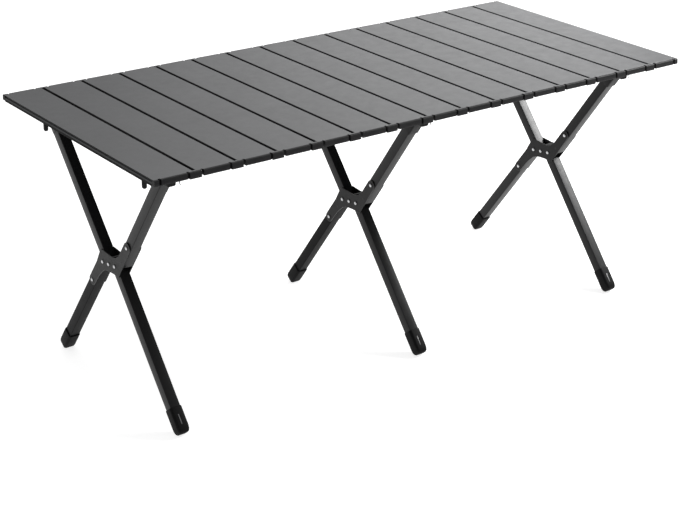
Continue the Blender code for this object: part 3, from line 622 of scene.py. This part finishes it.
def foot(tag, which):
    leg = "back_lower_leg" if which == "back" else "front_lower_leg"
    line = Line(FRAME_X[tag], *LEGS[leg])
    u0 = line.length - 0.0360
    h = 0.0122
    bm = bmesh.new()
    loops = []
    for du, s in ((0.0, 0.955), (0.0006, 0.985), (0.0016, 1.0), (0.0350, 1.0), (0.0390, 0.985), (0.0425, 0.94), (0.0455, 0.86), (0.0475, 0.74), (0.0485, 0.60)):
        loops.append([line.at(u0 + du, b * s, a * s) for a, b in rounded(h, h, 0.0050, 5)])
    inner_h = TUBE / 2 + 0.0003
    inner = [[line.at(u0 + du, b, a) for a, b in rounded(inner_h, inner_h, 0.0024, 5)] for du in (0.0363, 0.0)]
    rings = [[bm.verts.new(p) for p in loop] for loop in loops]
    cav = [[bm.verts.new(p) for p in loop] for loop in inner]
    n = len(rings[0])
    for a, b in zip(rings, rings[1:]):
        for k in range(n):
            m = (k + 1) % n
            bm.faces.new((a[k], a[m], b[m], b[k]))
    bm.faces.new(rings[-1])
    bm.faces.new(cav[0])
    for a, b in ((cav[0], cav[1]), (cav[1], rings[0])):
        for k in range(n):
            m = (k + 1) % n
            bm.faces.new((a[k], a[m], b[m], b[k]))
    cut = bmesh.ops.bisect_plane(bm, geom=list(bm.verts) + list(bm.edges) + list(bm.faces), plane_co=(0, 0, 0),
                                 plane_no=(0, 0, 1), clear_inner=True, dist=1e-6)
    edges = [g for g in cut["geom_cut"] if isinstance(g, bmesh.types.BMEdge)]
    if edges:
        bmesh.ops.contextual_create(bm, geom=edges)
    obj = finish("%s_%s_foot" % (tag, which), bm, M_FOOT, tag + BODY[leg], 0.0, angle=40)
    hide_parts("%s_%s_foot_cap" % (tag, which))
    if which == "front":
        # a narrow slot in near-black painted shade with a raised lip in light grey painted highlight along the cap's
        # upper front face
        for part, x0, x1, v0, v1, mat in (("slot", -0.0002, 0.0014, h - 0.0004, h + 0.00008, M_SHADOW), ("lip", -0.0022, -0.0004, h - 0.0004, h + 0.0004, M_LIP_PAINTED_HIGHLIGHT)):
            bm = bmesh.new()
            ring = [(x0, v0), (x1, v0), (x1, v1), ((x0 + x1) / 2, v1 + 0.00004), (x0, v1)]
            skin_loops(bm, [[line.at(u0 + du, v0 + (v - v0) * k, x) for x, v in ring]
                            for du, k in ((0.0140, 0.3), (0.0150, 1.0), (0.0300, 1.0), (0.0325, 0.6), (0.0335, 0.2))])
            bmesh.ops.recalc_face_normals(bm, faces=bm.faces)
            finish("%s_front_foot_%s" % (tag, part), bm, mat, tag + BODY[leg], 0.0, angle=40)


def socket(tag, which):
    arm = "back_upper_arm" if which == "back" else "front_upper_arm"
    body = tag + BODY[arm]
    line = Line(FRAME_X[tag], *LEGS[arm])
    ry = BACK_RAIL_Y if which == "back" else FRONT_RAIL_Y
    u0 = line.length - 0.0300
    bm = bmesh.new()
    s = 0.0106 if tag == "left" else 0.0124
    outer = rounded(s, s, 0.0014 if tag == "left" else 0.0034, 5)
    inner_h = TUBE / 2 + 0.0002
    inner = rounded(inner_h, inner_h, 0.0011, 5)
    rings = []
    for du, k, loop in ((0.0, 1.0 if tag == "left" else 0.97, outer), (0.0008, 1.0, outer), (0.0300 + 0.0028, 1.0, outer)):
        rings.append([bm.verts.new(line.at(u0 + du, b * k, a * k)) for a, b in loop])
    cav = [[bm.verts.new(line.at(u0 + du, b, a)) for a, b in inner] for du in (0.0303, 0.0)]
    n = len(outer)
    for a, b in list(zip(rings, rings[1:])) + [(cav[0], cav[1]), (cav[1], rings[0])]:
        for k in range(n):
            m = (k + 1) % n
            bm.faces.new((a[k], a[m], b[m], b[k]))
    bm.faces.new(rings[-1])
    bm.faces.new(cav[0])
    sleeve = finish("%s_%s_sleeve" % (tag, which), bm, M_TUBE if tag == "left" else M_PLASTIC, body, 0.0, angle=40)
    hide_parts("%s_%s_rail_socket" % (tag, which))
    # block with the rails' openings: walls round the rail, closed at a dead end
    x = FRAME_X[tag]
    hx, hy = 0.0132, 0.0160
    zt, zb = SOCKET_TOP, 0.4735
    c = RAIL / 2 + 0.0003
    zc = SOCKET_TOP - RAIL / 2 - 0.0020
    bm = bmesh.new()
    outer = rounded(hy, (zt - zb) / 2, 0.0028, 4, ry, (zt + zb) / 2)
    inner = rounded(c, c, 0.0012, 4, ry, zc)
    n = len(outer)
    if tag == "mid":
        a0 = [bm.verts.new((x - hx, p[0], p[1])) for p in outer]
        a1 = [bm.verts.new((x + hx, p[0], p[1])) for p in outer]
        cl = [[bm.verts.new((x + xx, p[0], p[1])) for p in inner] for xx in (-hx, -hx + 0.0115)]
        cr = [[bm.verts.new((x + xx, p[0], p[1])) for p in inner] for xx in (hx, hx - 0.0115)]
        pairs = [(a0, a1), (a0, cl[0]), (cl[0], cl[1]), (a1, cr[0]), (cr[0], cr[1])]
        caps = [cl[1], cr[1]]
    else:
        sg = 1 if tag == "left" else -1
        a0 = [bm.verts.new((x - sg * hx, p[0], p[1])) for p in outer]
        a1 = [bm.verts.new((x + sg * hx, p[0], p[1])) for p in outer]
        cl = [[bm.verts.new((x + sg * xx, p[0], p[1])) for p in inner] for xx in (hx, hx - 0.0213)]
        pairs = [(a0, a1), (a1, cl[0]), (cl[0], cl[1])]
        caps = [a0, cl[1]]
    for a, b in pairs:
        for k in range(n):
            m = (k + 1) % n
            bm.faces.new((a[k], a[m], b[m], b[k]))
    for cface in caps:
        bm.faces.new(cface)
    finish("%s_%s_rail_block" % (tag, which), bm, M_PLASTIC, body, 0.0005, 2, None, 40)
    if which == "front":
        # a pad under the block, and beside it a small arm that ends in a thin pin
        bm = bmesh.new()
        pad = ((-0.0105, 0.0), (-0.0105, -0.0085), (-0.0085, -0.0098), (0.0030, -0.0098), (0.0054, -0.0078), (0.0058, 0.0))
        prism(bm, pad, lambda a, b: (x + a, ry - 0.0145, zb + 0.0010 + b), (0, 0.0165, 0))
        prism(bm, ((0.0125, 0.0), (0.0125, -0.0016), (0.0188, -0.0016), (0.0188, 0.0)), lambda a, b: (x + a, ry - 0.0085, 0.4796 + b), (0, 0.0050, 0))
        finish("%s_front_pad" % tag, bm, M_PLASTIC, body, 0.0005, 2, None, 40)
        bm = bmesh.new()
        ring = [(0.0008 * math.cos(math.tau * n / 10), 0.0008 * math.sin(math.tau * n / 10)) for n in range(10)]
        skin_loops(bm, [[(x + 0.0174 + shift + a, ry - 0.0060 + b, z) for a, b in ring]
                        for shift, z in ((0.0, 0.4786), (0.0, 0.4690), (0.0004, 0.4640), (0.0014, 0.4604))])
        finish("%s_front_pin" % tag, bm, M_PLASTIC, body, 0.0, angle=40)


def rail(tag, which):
    x0, x1 = sorted(((FRAME_X[tag] + (1 if tag == "left" else -1) * (0.0132 - 0.0210)),
                     (FRAME_X["mid"] - (1 if tag == "left" else -1) * (0.0132 - 0.0112))))
    y = BACK_RAIL_Y if which == "back" else FRONT_RAIL_Y
    zc = SOCKET_TOP - RAIL / 2 - 0.0020
    bm = bmesh.new()
    outer = rounded(RAIL / 2, RAIL / 2, 0.0018, 4, y, zc)
    inner = rounded(RAIL / 2 - 0.0012, RAIL / 2 - 0.0012, 0.0007, 4, y, zc)
    r = [[bm.verts.new((xx, p[0], p[1])) for p in loop] for xx, loop in ((x0, outer), (x1, outer), (x1, inner), (x0, inner))]
    r.append(r[0])
    n = len(outer)
    for a, b in zip(r, r[1:]):
        for k in range(n):
            m = (k + 1) % n
            bm.faces.new((a[k], a[m], b[m], b[k]))
    body = tag + ("_back_arm" if which == "back" else "_frame")
    obj = finish("%s_%s_rail_tube" % (tag, which), bm, M_TUBE, body, 0.0, angle=40)
    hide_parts("%s_%s_rail" % (tag, which))


for tag, x in FRAME_X.items():
    for leg, (a, b) in LEGS.items():
        # the back lower legs of the left and middle frames take the painted-shade tube copy
        tube("%s_%s_tube" % (tag, leg), Line(x, a, b), TUBE / 2, 0.0013, 0.0010, tag + BODY[leg], "%s_%s" % (tag, leg),
             (M_TUBE_PAINTED_SHADE, M_EDGE_HIGHLIGHT_AND_WEAR) if leg == "back_lower_leg" and tag != "right" else (M_TUBE, M_EDGE_HIGHLIGHT_AND_WEAR))
    hub(tag)
    for which in ("back", "front"):
        foot(tag, which)
        socket(tag, which)
        if tag != "mid":
            rail(tag, which)


# ------------------------------------------------------------------ locating clips
def clip(tag, which):
    x = 0.5880 * (-1 if tag == "left" else 1)
    y = 0.1260 if which == "back" else -0.2170
    top = TOP_Z - THICK - 0.0003
    bm = bmesh.new()
    loops = []
    depth = top - 0.4780
    for z, s in ((-0.0020, 1.0), (-depth + 0.0040, 1.0), (-depth + 0.0022, 0.94), (-depth + 0.0008, 0.80), (-depth, 0.55)):
        loops.append([(x + a * s, y + b * s, top + z) for a, b in rounded(0.0037, 0.0037, 0.0018, 4)])
    fl = [[(x + a, y + b, top + z) for a, b in rounded(0.0105 * s, 0.0085 * s, 0.0024, 4)] for z, s in ((0.0, 1.0), (-0.0016, 1.0), (-0.0022, 0.93))]
    skin_loops(bm, fl + loops)
    obj = finish("%s_%s_clip_peg" % (tag, which), bm, M_PLASTIC, slat_body(1 if tag == "left" else 15), 0.0, angle=40)
    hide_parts("%s_%s_clip" % (tag, which))


for tag in ("left", "right"):
    for which in ("back", "front"):
        clip(tag, which)


# ------------------------------------------------------------------ floor, lights, camera
def stage_plane(name, size, z, colour, glow):
    bm = bmesh.new()
    s = size / 2
    bm.faces.new([bm.verts.new(p) for p in ((-s, -s, z), (s, -s, z), (s, s, z), (-s, s, z))])
    me = bpy.data.meshes.new(name)
    bm.to_mesh(me)
    bm.free()
    obj = bpy.data.objects.new(name, me)
    bpy.context.scene.collection.objects.link(obj)
    mat = bpy.data.materials.new(name + "_paper")
    mat.use_nodes = True
    b = mat.node_tree.nodes["Principled BSDF"]
    b.inputs["Base Color"].default_value = (*colour, 1)
    b.inputs["Roughness"].default_value = 0.95
    b.inputs["Specular IOR Level"].default_value = 0.1
    b.inputs["Emission Color"].default_value = (1.0, 1.0, 1.0, 1.0)
    b.inputs["Emission Strength"].default_value = glow
    me.materials.append(mat)
    return obj


# the floor is a softly lit table, as in a product photograph
stage_plane("floor", 40.0, -0.0008, (0.45, 0.45, 0.45), 0.80)


def area(name, location, target, size, power, size_y=None):
    data = bpy.data.lights.new(name, "AREA")
    data.energy = power
    data.size = size
    if size_y:
        data.shape = "RECTANGLE"
        data.size_y = size_y
    obj = bpy.data.objects.new(name, data)
    obj.location = location
    obj.rotation_euler = (Vector(target) - Vector(location)).to_track_quat("-Z", "Y").to_euler()
    bpy.context.scene.collection.objects.link(obj)
    return obj


area("key_overhead", (0.6, 0.9, 3.2), (0.0, 0.0, 0.4), 3.0, 60.0)
# a tall screen behind the right end, brighter towards the right
for n, strength in enumerate((0.1, 1.1, 2.2, 3.2, 4.0, 4.6, 5.1)):
    area("screen_%d" % n, (1.0 + 0.5 * n, 3.0, 1.7), (1.0 + 0.5 * n, 0.0, 1.7), 0.5, strength, 2.0)
area("front_right", (1.75, -0.56, 1.43), (0.5, 0.1, 0.38), 0.7, 68.0)

world = bpy.data.worlds.new("studio")
bpy.context.scene.world = world
world.use_nodes = True
bg = world.node_tree.nodes["Background"]
bg.inputs["Color"].default_value = (1.0, 1.0, 1.0, 1.0)
bg.inputs["Strength"].default_value = 0.42

sc = bpy.context.scene
sc.view_settings.view_transform = "Standard"
sc.view_settings.look = "None"

cam_data = bpy.data.cameras.new("camera")
cam_data.sensor_fit = "HORIZONTAL"
cam_data.sensor_width = 36.0
cam_data.lens = 1625.92 * 36.0 / 680.0
cam_data.shift_x = -1.0 / 680.0
cam_data.shift_y = -1.5 / 680.0
cam_data.clip_start = 0.05
cam_data.clip_end = 100.0
cam = bpy.data.objects.new("camera", cam_data)
sc.collection.objects.link(cam)
az, el, roll = math.radians(-36.912), math.radians(23.497), math.radians(0.814)
back = Vector((math.sin(az) * math.cos(el), -math.cos(az) * math.cos(el), math.sin(el)))
right0 = Vector((math.cos(az), math.sin(az), 0.0))
up0 = back.cross(right0)
right = right0 * math.cos(roll) + up0 * math.sin(roll)
up = up0 * math.cos(roll) - right0 * math.sin(roll)
m = Matrix.Identity(4)
for i in range(3):
    m[i][0], m[i][1], m[i][2] = right[i], up[i], back[i]
m[0][3], m[1][3], m[2][3] = -1.8035, -2.3659, 1.4294
cam.matrix_world = m
sc.camera = cam
